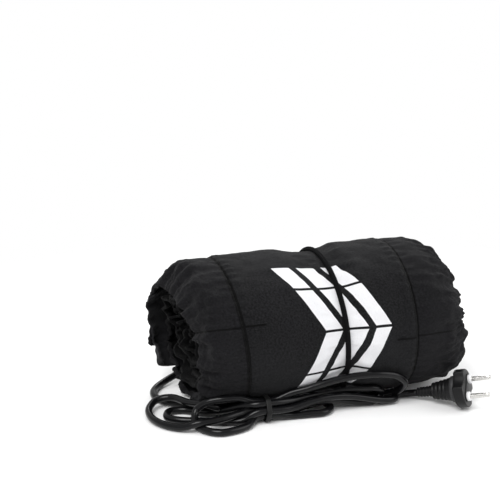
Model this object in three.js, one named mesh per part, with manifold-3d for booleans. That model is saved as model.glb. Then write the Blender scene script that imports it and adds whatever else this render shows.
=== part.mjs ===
// A rolled front-wheel tire warmer for a motorcycle: a padded heated mat with a gathered skirt along
// each edge, rolled up, held by an elastic cord, with its mains lead folded into a tied hank.
// Millimetres, +Z up, +X along the roll from its left end to its right end, +Y away from the front.
import * as THREE from "three";
import { mergeVertices } from "three/addons/utils/BufferGeometryUtils.js";
import Module from "manifold-3d";

const wasm = await Module();
wasm.setup();

// The mat
const treadWidth = 166; // seam to seam
const matTurns = 7.2;
const coreHole = 6; // radius of the open core
const leftEndRadius = 78; // outer radius of the last turn at the left seam
const rightEndRadius = 81.5; // the same at the right seam
const matEndAngle = -44; // degrees, where the outer end of the mat lies, low at the back
const restFlat = 1.2; // how far the soft roll is pressed flat where it rests
const seamDrop = 1.6; // how far the padding thins at the seams
const seamDropReach = 5;
const clothGap = 0.3; // clearance between soft layers and between pieces that touch

// The waist that the elastic cord pulls into the roll
const waistX = 14;
const waistFlat = 4; // half the width of its bottom
const waistLeftReach = 46; // where it has faded, towards the left
const waistRightReach = 24; // and towards the right
const waistDepth = 6;
const waistInnerShare = 0.46; // share of the depth that reaches the next turn

// The soft roll leans: its rings lie this much further left high at the back than low in front
const leanAtLeftSeam = 16;
const leanAtRightSeam = 7;
const leanDirection = 60; // degrees

// The skirts
const clothThickness = 2.4;
const hemThickness = 4;
const skirtEndAngle = -26; // degrees: the skirt stops short of the mat's end
const hemCoreRadius = 8;
const ruffleCount = 15;
const ruffleDepth = 3.2;
const foldCount = 5;
const foldDepth = 1.2;
const hemRecess = 3; // each turn inside lies this much further in
const openHemRadius = 63; // the hem's radius at the outer end, where nothing gathers it
const coveredDrop = 3; // how much closer the covered turns' hems are drawn
const leftSkirt = {
  side: -1, // on the roll's left
  reach: 46, // from the seam to the hem, on average
  tilt: 2, // how much further the hem stands out at the back
  hemRadius: 57,
  hemSag: 10, // how far the mouth's middle hangs below the roll's
  shoulder: 34, // handle lengths of the curve from the seam to the hem
  brow: 10,
  browTop: 20, // how much longer the second handle is at the top
  bulge: 3, // how far the top swells past the seam's radius
};
const rightSkirt = {
  side: 1,
  reach: 64,
  tilt: 2,
  hemRadius: 50,
  hemSag: 6,
  shoulder: 30,
  brow: 14,
  browTop: 6,
  bulge: 2,
};
const endFlare = 14; // how much further the skirts' outer ends stand out

// The closing flaps, sewn inside the skirts' outer ends
const flapStartAngle = 28; // degrees
const flapEndAngle = -44;
const flapReach = 9; // how far the flap stands out of the hem

// The elastic cord
const elasticDiameter = 4;

// The mains lead, its strain relief and its tie
const leadDiameter = 7;
const leadSteps = 112;
const leadSides = 8;
const glandRootRadius = 4.2;
const glandTipRadius = 4;
const glandGroove = 0.7; // depth of its rings
const glandRings = 5;
const glandSides = 10;
const glandAngle = -40.5; // degrees, its place on the mat's left edge
const glandHandle = 8; // handle lengths of its curve from the mat's edge to the lead
const glandInset = 4.2; // its axis lies this far inside the mat's outer face
const glandSeat = 1.2; // clearance from the mat's slanting edge
const tieX = -68;
const tieCentre = { y: -65.6, z: 12.6 }; // the middle of the seven passes it holds
const passPitch = 7.3; // from one pass to the next inside the tie
const tieWidth = 5;
const tieThickness = 1.2;
const tieClearance = 1;

// The lead's way along the floor, from its strain relief to the plug: a hank of seven passes
const leadRoute = [
  [-115, 54, 13.6], [-129, 51.7, 8.7], [-142.2, 45.5, 5.2], [-153, 35.2, 3.9],
  [-159.5, 21.8, 3.7], [-158.8, 7, 3.7], [-150.3, -5.3, 3.7], [-139, -15.3, 3.7],
  [-128.6, -31.2, 3.7], [-117.2, -37.6, 3.7], [-103.6, -41.6, 3.7], [-91.5, -50.6, 3.7],
  [-79, -62, 6.3], [-57, -62, 6.3], [-42.6, -56.3, 3.8], [-28.2, -51.4, 3.7],
  [-13.7, -46.6, 3.7], [1.3, -43.8, 3.7], [16.5, -42.5, 3.7], [31.7, -42.4, 3.7],
  [46.8, -44, 4.1], [60.9, -49, 6.6], [70.6, -58.2, 13.4], [71.1, -67.7, 24.7],
  [60.3, -72, 34], [45.7, -73.6, 37.9], [30.5, -73.3, 38.7], [15.4, -71.4, 37.8],
  [0.3, -69.7, 35.5], [-14.5, -68.7, 32.1], [-29.1, -67.1, 28.2], [-43.6, -64.2, 24.5],
  [-57, -62, 18.9], [-79, -62, 18.9], [-92.9, -60.9, 23.3], [-107.7, -61.2, 24.3],
  [-121.8, -57.8, 22], [-133, -54.9, 13.3], [-135.7, -65.6, 4.8], [-129.6, -78.9, 3.7],
  [-117.9, -87.6, 3.7], [-103.3, -86.1, 3.7], [-89.8, -79.9, 3.7], [-79, -69.2, 6.3],
  [-57, -69.2, 6.3], [-42.1, -68.5, 3.7], [-26.4, -69.5, 3.7], [-10.7, -69.5, 3.7],
  [-1.7, -58.8, 3.9], [-11, -50.6, 9.2], [-26.5, -52.9, 10.8], [-42.1, -54.9, 11.3],
  [-57, -58.3, 12.6], [-79, -58.3, 12.6], [-93, -50.7, 10.9], [-106.3, -47.3, 9],
  [-113.2, -54.3, 14], [-122.4, -51.7, 17], [-135.3, -34.5, 13.3], [-148.3, -13, 11.2],
  [-162.3, -10.8, 9.1], [-171.4, -20.9, 5.5], [-172.5, -35.2, 3.9], [-168.3, -49.2, 3.7],
  [-159.9, -61.1, 3.8], [-148.4, -69.8, 4.9], [-135.6, -74.9, 9.4], [-121.3, -75, 9.8],
  [-106.9, -72.5, 10.9], [-93.1, -67.9, 11.6], [-79, -65.6, 12.6], [-57, -65.6, 12.6],
  [-42.1, -62.5, 10.5], [-27.6, -61.7, 10.7], [-13, -60.6, 10.9], [1.4, -59.6, 10.4],
  [15.7, -58.3, 7.6], [30, -57.7, 4.8], [44.4, -56.5, 4.2], [52.1, -56.1, 11.9],
  [44.4, -60.6, 18.5], [30, -60.4, 19.9], [15.4, -58.6, 19.9], [0.9, -58.6, 19.2],
  [-13.6, -60, 18.5], [-28, -62.1, 18], [-42.3, -65, 17.3], [-57, -69.2, 18.9],
  [-79, -69.2, 18.9], [-92, -60.5, 15.1], [-104.6, -54.4, 10.7], [-116.4, -46.7, 6.8],
  [-127.8, -37.8, 4.6], [-139.3, -28.8, 3.7], [-153, -28.3, 3.7], [-157.7, -41, 3.7],
  [-147.6, -51, 3.7], [-133.9, -56.1, 3.7], [-120.3, -61.6, 3.7], [-106.4, -66.2, 4.1],
  [-92.5, -70.7, 5.1], [-79, -72.9, 12.6], [-57, -72.9, 12.6], [-42.1, -70.9, 12.7],
  [-27, -69, 15.1], [-11.8, -66.9, 16.8], [3.5, -65.3, 16.5], [18.7, -64.2, 14.4],
  [33.7, -63.7, 10.9], [48.6, -62.8, 7.2], [63.6, -60.2, 4.9], [71, -49, 4],
  [83.6, -51.6, 5.1], [90.3, -57.2, 7.5],
];

// The plug, whose pins point away from the roll and a little upwards
const plugFace = { x: 127.5, y: -88.4, z: 20.8 }; // the middle of its front face
const plugHeading = -40; // degrees
const plugRise = 15;
const plugRoll = 40; // the line through its pins lies this far out of level
const plugSides = 24;
const flangeRadius = 18.5;
const flangeThickness = 10;
const cutOutDepth = 5.5;
const cutOutRadius = 11;
const neckLength = 24;
const neckFrontRadius = 12.5;
const neckBackRadius = 8;
const neckRibs = 5;
const ribDepth = 0.9;
const reliefLength = 16;
const reliefFrontRadius = 5.6;
const reliefBackRadius = 4.5;
const pinSpacing = 19;
const pinDiameter = 4.8;
const pinLength = 19;
const collarDiameter = 9;
const collarHeight = 3;
const bridgeThickness = 2;
const bridgeLength = 31;
const bridgeWidth = 11;
const bridgePocket = 1.5; // how deep the flange holds it
const pinSides = 12;

// How finely the soft pieces are cut into flats: stations for each turn
const fineStations = 60;
const middleStations = 20;
const coreStations = 10;

const degree = Math.PI / 180;
const fullTurn = 2 * Math.PI;
const totalAngle = matTurns * fullTurn;
const smooth = THREE.MathUtils.smoothstep;
const mix = THREE.MathUtils.lerp;

// The winding. A station's angle grows from the core outwards; its direction is measured round the
// roll from +Y over +Z, and turns back as the winding goes out.

function matEndRadius(x) {
  const share = THREE.MathUtils.clamp(x / treadWidth + 0.5, 0, 1);
  return mix(leftEndRadius, rightEndRadius, share);
}

function matPitch(x) {
  return (matEndRadius(x) - coreHole + clothGap) / (matTurns + 1);
}

function turnsIn(angle) {
  return (totalAngle - angle) / fullTurn;
}

function directionAt(angle) {
  return matEndAngle * degree + totalAngle - angle;
}

function angleFacing(direction) {
  return totalAngle - (direction - matEndAngle) * degree;
}

function matRadius(angle, x) {
  const thickness = matPitch(x) - clothGap;
  return coreHole + thickness + (matPitch(x) * angle) / fullTurn;
}

// The middle's height, which lets the pressed underside lie at z = 0
function middleHeight(x) {
  return matRadius(angleFacing(270), x) - restFlat;
}

function rollPoint(x, radius, direction) {
  const y = radius * Math.cos(direction);
  const z = middleHeight(x) + radius * Math.sin(direction);
  return new THREE.Vector3(x, y, z);
}

// How far a ring of the roll lies out of square, fading towards the core
function leanAt(angle, x) {
  const share = THREE.MathUtils.clamp(x / treadWidth + 0.5, 0, 1);
  const towards = (0.5 + Math.cos(directionAt(angle) - leanDirection * degree)) / 1.5;
  return -mix(leanAtLeftSeam, leanAtRightSeam, share) * towards * (1 - turnsIn(angle) / matTurns);
}

// Stations from the core outwards, coarse inside and fine on the outer turns. Each coarser step is
// a whole number of finer ones, so that neighbouring turns share their directions.
function stations(endAngle, fineTurns, middleTurns) {
  const list = [];
  let turns = matTurns;
  const end = turnsIn(endAngle);
  while (turns > end + 1e-6) {
    list.push(totalAngle - turns * fullTurn);
    const count = turns > middleTurns ? coreStations : turns > fineTurns ? middleStations : fineStations;
    const next = (Math.ceil(turns * count - 1e-6) - 1) / count;
    turns = Math.max(next, end);
  }
  list.push(endAngle);
  return list;
}

// Lofts closed loops into one body. Each loop is a list of { point, at }, with at running from 0 to
// 1 round the loop: the outer face's points up to 0.48, then the inner face's back from 0.5.
function loft(loops, closed = false) {
  const positions = [];
  const triangle = (a, b, c) => {
    for (const corner of [a, b, c]) positions.push(...corner.point.toArray());
  };
  const strip = (first, second) => {
    let i = 0;
    let j = 0;
    while (i < first.length || j < second.length) {
      const nextFirst = i + 1 < first.length ? first[i + 1].at : i < first.length ? 1 : 2;
      const nextSecond = j + 1 < second.length ? second[j + 1].at : j < second.length ? 1 : 2;
      const a = first[i % first.length];
      const b = second[j % second.length];
      if (nextFirst <= nextSecond) {
        triangle(a, b, first[(i + 1) % first.length]);
        i += 1;
      } else {
        triangle(a, b, second[(j + 1) % second.length]);
        j += 1;
      }
    }
  };
  const cap = (loop, turned) => {
    let low = 0;
    let high = loop.length - 1;
    while (high - low > 1) {
      const advanceLow = loop[low + 1].at <= 0.98 - loop[high - 1].at;
      const third = advanceLow ? low + 1 : high - 1;
      if (turned) triangle(loop[low], loop[third], loop[high]);
      else triangle(loop[low], loop[high], loop[third]);
      if (advanceLow) low += 1;
      else high -= 1;
    }
  };
  for (let i = 0; i + 1 < loops.length; i += 1) strip(loops[i], loops[i + 1]);
  if (closed) {
    strip(loops[loops.length - 1], loops[0]);
  } else {
    cap(loops[0], true);
    cap(loops[loops.length - 1], false);
  }
  const geometry = new THREE.BufferGeometry();
  geometry.setAttribute("position", new THREE.Float32BufferAttribute(positions, 3));
  return mergeVertices(geometry, 1e-4);
}

// A loop from the points of its outer face and of its inner face, both given from left to right,
// with the share of the width at which each lies
function loopOf(outer, inner) {
  const loop = outer.map(([share, point]) => ({ point, at: 0.48 * share }));
  for (const [share, point] of [...inner].reverse()) loop.push({ point, at: 0.5 + 0.48 * (1 - share) });
  return loop;
}

// The waist's depth at a station, on the outer or the inner face of the mat
function waistAt(angle, x, inner) {
  const turns = turnsIn(angle);
  const distance = Math.abs(x - waistX);
  const fade = 1 - smooth(distance, waistFlat, x < waistX ? waistLeftReach : waistRightReach);
  const outerShare =
    turns < 1.02
      ? 1
      : turns < 1.1
        ? mix(1, waistInnerShare, (turns - 1.02) / 0.08)
        : waistInnerShare * (1 - smooth(turns, 1.95, 2.1));
  const innerShare = waistInnerShare * (1 - smooth(turns, 0.95, 1.05));
  return waistDepth * fade * (inner ? innerShare : outerShare);
}

// The tread mat

function matLoop(angle) {
  const half = treadWidth / 2;
  const turns = turnsIn(angle);
  const waistRows = [-waistLeftReach, -waistLeftReach / 2, -waistFlat, waistFlat, waistRightReach];
  const rows = waistRows.map((offset) => waistX + offset);
  let outerRows = [-half, half];
  let innerRows = [-half, half];
  if (turns < 1.04) {
    outerRows = [-half, seamDropReach - half, ...rows, half - seamDropReach, half];
    innerRows = [-half, waistX - waistLeftReach, waistX, waistX + waistRightReach, half];
  } else if (turns < 2.1) {
    outerRows = [-half, waistX - waistLeftReach, waistX - waistFlat, waistX + waistFlat, waistX + waistRightReach, half];
  }
  const direction = directionAt(angle);
  const pointOn = (x, inner) => {
    let radius = matRadius(angle, x) - waistAt(angle, x, inner);
    if (inner) radius -= matPitch(x) - clothGap;
    const atSeam = half - Math.abs(x) < seamDropReach / 2;
    if (!inner && atSeam && turns < 1.04) radius -= seamDrop;
    const point = rollPoint(x, radius, direction);
    point.x += leanAt(angle, x);
    point.z = Math.max(point.z, 0);
    return point;
  };
  const share = (x) => x / treadWidth + 0.5;
  return loopOf(
    outerRows.map((x) => [share(x), pointOn(x, false)]),
    innerRows.map((x) => [share(x), pointOn(x, true)]),
  );
}

function treadMat() {
  return loft(stations(totalAngle, 1.04, 5).map(matLoop));
}

// The skirts. The section of one station runs along a curve from the seam over the shoulder to the
// hem; turns that others cover run straight.

function skirtCurve(skirt, angle) {
  const { side } = skirt;
  const turns = turnsIn(angle);
  const direction = directionAt(angle);
  const seamX = side * (treadWidth / 2 + clothGap);
  const seamRadius = matRadius(angle, seamX) - seamDrop - clothThickness / 2;
  const open = 1 - smooth(turns, 0.16, 0.36);
  const flare = endFlare * (1 - smooth(turns, 0, 0.34));
  const reach = skirt.reach + skirt.tilt * Math.cos(direction) + flare;
  const span = reach - hemRecess * turns;
  const hemX = seamX + side * span;
  const covered = smooth(turns, 1.05, 1.2);
  const gathered = skirt.hemRadius - skirt.hemSag * Math.sin(direction);
  const outerHem = mix(gathered, openHemRadius, open) - coveredDrop * covered;
  const hemRadius = mix(outerHem, hemCoreRadius, turns / matTurns);
  const bulge = skirt.bulge * (1 - covered) * (0.5 + 0.5 * Math.sin(direction));
  const shoulder = mix(Math.min(skirt.shoulder, 0.7 * span), span / 3, covered);
  const hang = Math.min(skirt.brow + skirt.browTop * Math.sin(direction), span - shoulder);
  const brow = mix(hang, span / 3, covered);
  const straight = (share) => mix(seamRadius + bulge, mix(seamRadius, hemRadius, share), covered);
  return new THREE.CubicBezierCurve(
    new THREE.Vector2(seamX, seamRadius),
    new THREE.Vector2(seamX + side * shoulder, straight(1 / 3)),
    new THREE.Vector2(hemX - side * brow, straight(2 / 3)),
    new THREE.Vector2(hemX, hemRadius),
  );
}

function ruffleAt(direction) {
  const strength = 0.8 + 0.2 * Math.sin(2 * direction + 1);
  return strength * Math.cos(ruffleCount * direction + 0.5 * Math.sin(3 * direction));
}

// A point of a skirt's section: along is 0 at the seam and 1 at the hem, depth is measured outwards
function skirtPoint(skirt, angle, along, depth) {
  const curve = skirtCurve(skirt, angle);
  const direction = directionAt(angle);
  const turns = turnsIn(angle);
  const at = Math.min(along, 1);
  const place = curve.getPoint(at);
  const tangent = curve.getTangent(at);
  const past = along - at;
  place.addScaledVector(tangent, past * skirt.reach);
  const normal = new THREE.Vector2(-tangent.y, tangent.x).multiplyScalar(skirt.side);
  if (along === 0) normal.set(0, 1);
  const calm = mix(0.45, 1, smooth(Math.abs(turns), 0.2, 0.4));
  const fade = mix(1, 0.35, turns / matTurns) * calm;
  const ruffle = ruffleDepth * fade * at ** 2 * ruffleAt(direction);
  const fold = foldDepth * fade * 4 * at * (1 - at) * Math.sin(foldCount * direction + skirt.side);
  place.addScaledVector(normal, depth + ruffle + fold);
  const point = rollPoint(place.x, place.y, direction);
  point.x += leanAt(angle, place.x);
  const layer = Math.floor(Math.max(turns - 0.55, 0));
  const floor = clothThickness / 2 + layer * (clothThickness + clothGap) + 0.2;
  const middle = rollPoint(place.x, place.y - depth, direction).z;
  if (middle < floor) point.z += floor - middle;
  return point;
}

function skirtLoop(skirt, angle) {
  const turns = turnsIn(angle);
  const rows = turns < 1.25 ? [0, 0.2, 0.42, 0.64, 0.86, 1] : [0, 1];
  const half = (along) => (turns < 1.25 && along > 0.8 ? hemThickness : clothThickness) / 2;
  const outer = rows.map((along) => [along, skirtPoint(skirt, angle, along, half(along))]);
  const inner = rows.map((along) => [along, skirtPoint(skirt, angle, along, -half(along))]);
  return loopOf(outer, inner);
}

function skirtPiece(skirt) {
  const loops = stations(angleFacing(skirtEndAngle), 2.5, 5).map((angle) => skirtLoop(skirt, angle));
  return facingOut(loft(loops));
}

// The flaps lie inside the outer end of each skirt and stand out of its hem
function flapPiece(skirt) {
  const rows = [0.42, 0.64, 0.86, 1, 1 + flapReach / skirt.reach];
  const offset = -(hemThickness / 2 + clothThickness / 2 + 2 * clothGap);
  const start = angleFacing(flapStartAngle);
  const end = angleFacing(flapEndAngle);
  const list = stations(end, 1.2, 5).filter((angle) => angle > start - 1e-6);
  const loops = list.map((angle) => {
    const face = (depth) => rows.map((along) => [along / 1.5, skirtPoint(skirt, angle, along, offset + depth)]);
    return loopOf(face(clothThickness / 2), face(-clothThickness / 2));
  });
  return facingOut(loft(loops));
}

// Turns a closed mesh's faces outwards
function facingOut(geometry) {
  const position = geometry.getAttribute("position");
  const index = geometry.getIndex();
  const [a, b, c] = [new THREE.Vector3(), new THREE.Vector3(), new THREE.Vector3()];
  let volume = 0;
  for (let i = 0; i < index.count; i += 3) {
    a.fromBufferAttribute(position, index.getX(i));
    b.fromBufferAttribute(position, index.getX(i + 1));
    c.fromBufferAttribute(position, index.getX(i + 2));
    volume += a.dot(b.cross(c));
  }
  if (volume < 0) {
    for (let i = 0; i < index.count; i += 3) {
      const kept = index.getX(i + 1);
      index.setX(i + 1, index.getX(i + 2));
      index.setX(i + 2, kept);
    }
  }
  return geometry;
}

// The elastic cord runs tight round the waist: the convex outline of the mat there
function elasticCord() {
  const radius = elasticDiameter / 2;
  const ring = [];
  const list = stations(totalAngle, 1.2, 5).filter((angle, i) => turnsIn(angle) < 1.02 && i % 2 === 0);
  for (const angle of list) {
    const direction = directionAt(angle);
    const surface = matRadius(angle, waistX) - waistAt(angle, waistX, false);
    const point = rollPoint(waistX, surface + 2 * clothGap + radius, direction);
    point.x += leanAt(angle, waistX);
    ring.push(point);
  }
  const tight = convexRing(ring);
  const middle = new THREE.Vector3(waistX, 0, middleHeight(waistX));
  const sides = 8;
  const loops = tight.map((centre, i) => {
    const before = tight[(i + tight.length - 1) % tight.length];
    const after = tight[(i + 1) % tight.length];
    const tangent = after.clone().sub(before).normalize();
    const out = centre.clone().sub(middle);
    out.addScaledVector(tangent, -out.dot(tangent)).normalize();
    const across = new THREE.Vector3().crossVectors(tangent, out);
    const loop = [];
    for (let j = 0; j < sides; j += 1) {
      const turn = (fullTurn * (j + 0.5)) / sides;
      const point = centre.clone().addScaledVector(out, radius * Math.cos(turn));
      point.addScaledVector(across, radius * Math.sin(turn));
      loop.push({ point, at: j / sides });
    }
    return loop;
  });
  return facingOut(loft(loops, true));
}

// The corners of the convex outline of points seen along X, in order round it
function convexRing(points) {
  const sorted = [...points].sort((a, b) => a.y - b.y || a.z - b.z);
  const chain = (list) => {
    const kept = [];
    for (const point of list) {
      while (kept.length > 1) {
        const [p, q] = kept.slice(-2);
        const bend = (q.y - p.y) * (point.z - q.z) - (q.z - p.z) * (point.y - q.y);
        if (bend > 0) break;
        kept.pop();
      }
      kept.push(point);
    }
    kept.pop();
    return kept;
  };
  return [...chain(sorted), ...chain(sorted.reverse())];
}

// The lead and its fittings

// Rings of the given radii along a path, joined into one closed body
function sleeve(path, radii, sides) {
  const frames = path.computeFrenetFrames(radii.length - 1);
  const loops = radii.map((radius, i) => {
    const centre = path.getPointAt(i / (radii.length - 1));
    const loop = [];
    for (let j = 0; j < sides; j += 1) {
      const turn = (fullTurn * j) / sides;
      const point = centre.clone().addScaledVector(frames.normals[i], radius * Math.cos(turn));
      point.addScaledVector(frames.binormals[i], radius * Math.sin(turn));
      loop.push({ point, at: j / sides });
    }
    return loop;
  });
  return facingOut(loft(loops));
}

// The strain relief leaves the mat's left edge level, low at the back, and bends down to the lead
function leadGland() {
  const edge = -treadWidth / 2;
  const angle = angleFacing(glandAngle);
  const root = rollPoint(edge, matRadius(angle, edge) - glandInset, glandAngle * degree);
  root.x += leanAt(angle, edge) - glandSeat;
  root.add(roll.position);
  const [first, second] = leadRoute.map((place) => new THREE.Vector3(...place));
  const back = first.clone().sub(second).normalize();
  const tip = first.clone().addScaledVector(back, 2 * clothGap);
  const level = root.clone().add(new THREE.Vector3(-glandHandle, 0, 0));
  const bent = tip.clone().addScaledVector(back, glandHandle);
  const path = new THREE.CubicBezierCurve3(root, level, bent, tip);
  const count = 2 * glandRings;
  const radii = [];
  for (let i = 0; i <= count; i += 1) {
    const groove = i % 2 === 1 ? glandGroove : 0;
    radii.push(mix(glandRootRadius, glandTipRadius, i / count) - groove);
  }
  return sleeve(path, radii, glandSides);
}

function mainsLead() {
  const path = new THREE.CatmullRomCurve3(leadRoute.map((place) => new THREE.Vector3(...place)));
  path.arcLengthDivisions = 20 * leadRoute.length;
  const section = new THREE.Shape();
  section.absarc(0, 0, leadDiameter / 2, 0, fullTurn);
  const settings = { steps: leadSteps, curveSegments: leadSides / 2, extrudePath: path };
  return bareGeometry(new THREE.ExtrudeGeometry(section, settings));
}

// The outline round a bundle of one pass with six about it, at a distance from the passes' middles
function bundleOutline(distance) {
  const outline = [];
  for (let corner = 0; corner < 6; corner += 1) {
    for (const turn of [-30, 0, 30]) {
      const around = corner * 60 * degree;
      const facing = around + turn * degree;
      const across = passPitch * Math.cos(around) + distance * Math.cos(facing);
      const up = passPitch * Math.sin(around) + distance * Math.sin(facing);
      outline.push(new THREE.Vector2(across, up));
    }
  }
  return outline;
}

function hankTie() {
  const inside = leadDiameter / 2 + tieClearance;
  const shape = new THREE.Shape(bundleOutline(inside + tieThickness));
  shape.holes.push(new THREE.Path(bundleOutline(inside).reverse()));
  const geometry = new THREE.ExtrudeGeometry(shape, { depth: tieWidth, bevelEnabled: false });
  // The shape's own X and Y become Y and Z, and its depth runs along X
  const turned = new THREE.Matrix4().set(0, 0, 1, 0, 1, 0, 0, 0, 0, 1, 0, 0, 0, 0, 0, 1);
  geometry.applyMatrix4(turned);
  geometry.translate(tieX - tieWidth / 2, tieCentre.y, tieCentre.z);
  return facingOut(bareGeometry(geometry));
}

// The plug is built with its front face at z = 0, its pins along +Z and their line along X

function turned(profile, sides) {
  const points = profile.map(([radius, height]) => new THREE.Vector2(radius, height));
  return facingOut(bareGeometry(new THREE.LatheGeometry(points, sides)));
}

function disc(radius, bottom, top, sides, x = 0, y = 0) {
  const geometry = turned([[0, bottom], [radius, bottom], [radius, top], [0, top]], sides);
  return geometry.rotateX(Math.PI / 2).translate(x, y, 0);
}

function ovalPlate(length, width, bottom, top) {
  const shape = new THREE.Shape();
  const straight = (length - width) / 2;
  shape.absarc(straight, 0, width / 2, -Math.PI / 2, Math.PI / 2);
  shape.absarc(-straight, 0, width / 2, Math.PI / 2, 1.5 * Math.PI);
  const settings = { depth: top - bottom, bevelEnabled: false, curveSegments: pinSides / 2 };
  const geometry = bareGeometry(new THREE.ExtrudeGeometry(shape, settings));
  return facingOut(geometry).translate(0, 0, bottom);
}

// The ribbed neck and the narrower ribbed relief behind it, as radii along the plug's axis
function plugTail() {
  const neckEnd = -flangeThickness - neckLength;
  const tailEnd = neckEnd - reliefLength;
  const profile = [[0, tailEnd]];
  const ribs = (front, back, frontRadius, backRadius) => {
    for (let i = 2 * neckRibs; i >= 0; i -= 1) {
      const share = i / (2 * neckRibs);
      const groove = i % 2 === 1 ? ribDepth : 0;
      profile.push([mix(frontRadius, backRadius, share) - groove, mix(front, back, share)]);
    }
  };
  ribs(neckEnd, tailEnd, reliefFrontRadius, reliefBackRadius);
  ribs(-flangeThickness, neckEnd, neckFrontRadius, neckBackRadius);
  const overlap = flangeThickness / 4;
  profile.push([neckFrontRadius, overlap - flangeThickness], [0, overlap - flangeThickness]);
  return turned(profile, plugSides / 2).rotateX(Math.PI / 2);
}

function plugBody() {
  let flange = solidOf(disc(flangeRadius, -flangeThickness, 0, plugSides));
  const cutOutPlace = flangeRadius - cutOutDepth + cutOutRadius;
  for (const side of [-1, 1]) {
    const cutOut = disc(cutOutRadius, -2 * flangeThickness, flangeThickness, plugSides, 0, side * cutOutPlace);
    flange = flange.subtract(solidOf(cutOut));
  }
  const gap = 2 * clothGap;
  const pocket = ovalPlate(bridgeLength + gap, bridgeWidth + gap, -bridgePocket, flangeThickness);
  return geometryOf(flange.add(solidOf(plugTail())).subtract(solidOf(pocket)));
}

const bridgeBottom = clothGap - bridgePocket;
const bridgeTop = bridgeBottom + bridgeThickness;

function pinBridge() {
  let bridge = solidOf(ovalPlate(bridgeLength, bridgeWidth, bridgeBottom, bridgeTop));
  for (const side of [-1, 1]) {
    const x = (side * pinSpacing) / 2;
    const collar = disc(collarDiameter / 2, bridgeTop - 1, bridgeTop + collarHeight, pinSides, x);
    bridge = bridge.add(solidOf(collar));
  }
  for (const side of [-1, 1]) {
    const x = (side * pinSpacing) / 2;
    const bore = disc(pinDiameter / 2 + clothGap, -flangeThickness, flangeThickness, pinSides, x);
    bridge = bridge.subtract(solidOf(bore));
  }
  return geometryOf(bridge);
}

function plugPin(side) {
  const radius = pinDiameter / 2;
  const end = bridgeTop + collarHeight + pinLength;
  const profile = [
    [0, bridgeBottom],
    [radius, bridgeBottom],
    [radius, end - radius],
    [0.8 * radius, end - 0.4 * radius],
    [0.4 * radius, end],
    [0, end],
  ];
  return turned(profile, pinSides).rotateX(Math.PI / 2).translate((side * pinSpacing) / 2, 0, 0);
}

// Positions only, with shared corners
function bareGeometry(geometry) {
  const bare = new THREE.BufferGeometry();
  bare.setAttribute("position", geometry.getAttribute("position"));
  if (geometry.getIndex()) bare.setIndex(geometry.getIndex());
  return mergeVertices(bare, 1e-4);
}

function solidOf(geometry) {
  const vertProperties = geometry.getAttribute("position").array;
  const triVerts = new Uint32Array(geometry.getIndex().array);
  return new wasm.Manifold(new wasm.Mesh({ numProp: 3, vertProperties, triVerts }));
}

function geometryOf(solid) {
  const mesh = solid.getMesh();
  const geometry = new THREE.BufferGeometry();
  geometry.setAttribute("position", new THREE.Float32BufferAttribute(mesh.vertProperties, 3));
  geometry.setIndex(new THREE.BufferAttribute(mesh.triVerts, 1));
  return geometry;
}

// Placing and naming

function piece(name, geometry, color, roughness, metalness = 0) {
  const material = new THREE.MeshStandardMaterial({ color, roughness, metalness });
  const mesh = new THREE.Mesh(geometry, material);
  mesh.name = name;
  return mesh;
}

const roll = new THREE.Group();
roll.add(piece("tread_mat", facingOut(treadMat()), 0x1e1e21, 0.85));
roll.add(piece("left_skirt", skirtPiece(leftSkirt), 0x1b1a1e, 0.8));
roll.add(piece("right_skirt", skirtPiece(rightSkirt), 0x1b1a1e, 0.8));
roll.add(piece("left_closing_flap", flapPiece(leftSkirt), 0x141416, 0.95));
roll.add(piece("right_closing_flap", flapPiece(rightSkirt), 0x141416, 0.95));
roll.add(piece("retaining_cord", elasticCord(), 0x101011, 0.7));

// The origin lies on the floor under the middle of the roll
const box = new THREE.Box3().setFromObject(roll);
roll.position.set(-(box.min.x + box.max.x) / 2, -(box.min.y + box.max.y) / 2, -box.min.z);

const plug = new THREE.Group();
plug.add(piece("plug_body", plugBody(), 0x141415, 0.45));
plug.add(piece("pin_bridge", pinBridge(), 0xe9e9ea, 0.5));
plug.add(piece("pin_upper", plugPin(1), 0xc9c9cc, 0.25, 1));
plug.add(piece("pin_lower", plugPin(-1), 0xc9c9cc, 0.25, 1));
const rise = plugRise * degree;
const heading = plugHeading * degree;
const outwards = new THREE.Vector3(Math.cos(heading), Math.sin(heading), Math.tan(rise)).normalize();
const level = new THREE.Vector3(-Math.sin(heading), Math.cos(heading), 0);
const pinLine = level.clone().applyAxisAngle(outwards, plugRoll * degree);
const across = new THREE.Vector3().crossVectors(outwards, pinLine);
plug.quaternion.setFromRotationMatrix(new THREE.Matrix4().makeBasis(pinLine, across, outwards));
plug.position.set(plugFace.x, plugFace.y, plugFace.z);

const warmer = new THREE.Group();
warmer.add(roll, plug);
warmer.add(piece("lead_gland", leadGland(), 0x161617, 0.5));
warmer.add(piece("mains_lead", mainsLead(), 0x121213, 0.35));
warmer.add(piece("hank_tie", hankTie(), 0x0f0f10, 0.6));

export default warmer;
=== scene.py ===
import math
import bmesh
import bpy
import numpy as np
from mathutils import Matrix, Vector, noise


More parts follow.
